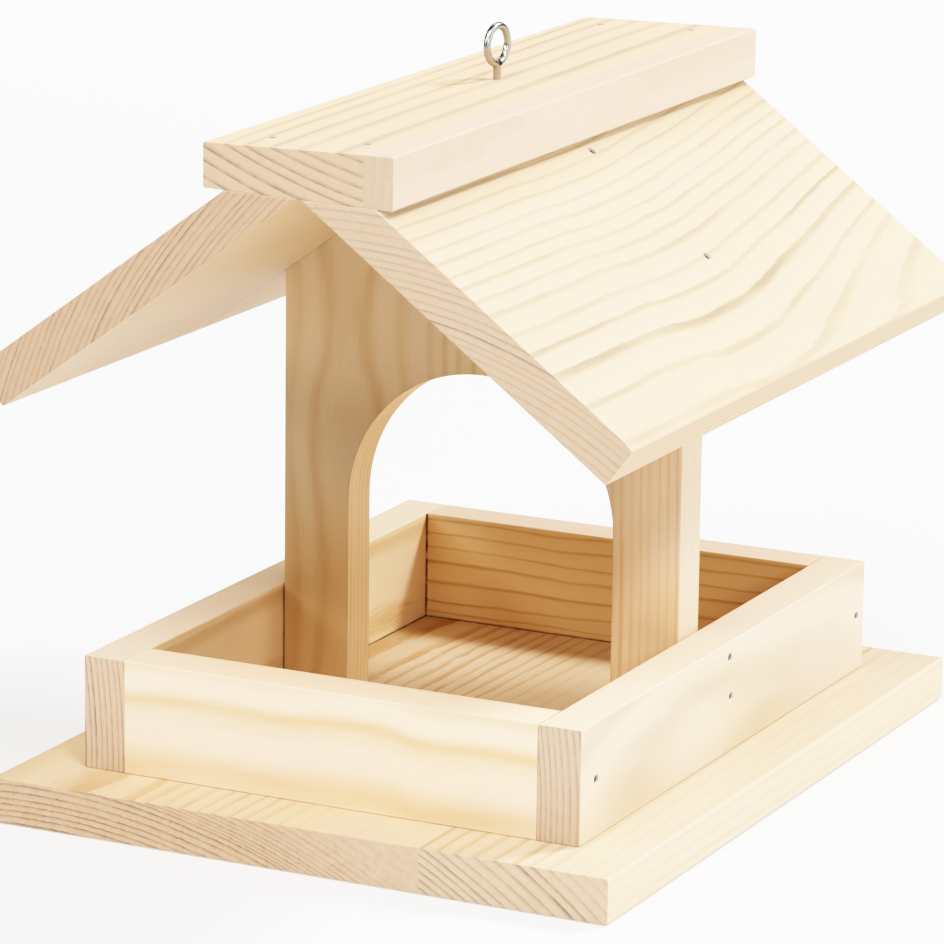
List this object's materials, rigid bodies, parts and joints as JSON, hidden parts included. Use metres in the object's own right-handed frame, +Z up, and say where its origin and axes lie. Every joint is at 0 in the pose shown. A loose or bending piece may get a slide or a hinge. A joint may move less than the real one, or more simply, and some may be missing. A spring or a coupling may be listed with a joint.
{
  "type": "bird table",
  "caption": "Small gabled bird table of planed pine: railed feeding tray on a base board, arched panel carrying a pitched roof with a flat ridge cap and a screw eye to hang it from.",
  "frame": {"origin": "bottom centre of the object's box: on the underside of the base board, midway between its side edges and midway between its front and back edges", "axes": "+X to the right along the front rail, +Y back along the ridge, +Z up"},
  "size_m": [0.2282, 0.28, 0.2502],
  "materials": {
    "pine_board": "planed and sanded, bare",
    "steel_nail": "bright wire",
    "plated_eye": "bright zinc plate"
  },
  "bodies": {
    "root": {"base_stave_wide": "pine_board", "base_stave_narrow": "pine_board", "front_rail": "pine_board", "back_rail": "pine_board", "left_rail": "pine_board", "right_rail": "pine_board", "arch_panel": "pine_board", "left_roof_panel": "pine_board", "right_roof_panel": "pine_board", "ridge_cap_board": "pine_board", "ridge_cap_stave": "pine_board", "ridge_cap_nails": "steel_nail", "left_roof_nails": "steel_nail", "right_roof_nails": "steel_nail", "left_rail_corner_nails": "steel_nail", "right_rail_corner_nails": "steel_nail", "left_rail_arch_nails": "steel_nail", "right_rail_arch_nails": "steel_nail", "base_rail_nails": "steel_nail", "base_arch_nails": "steel_nail", "screw_eye": "plated_eye"}
  },
  "joints": []
}
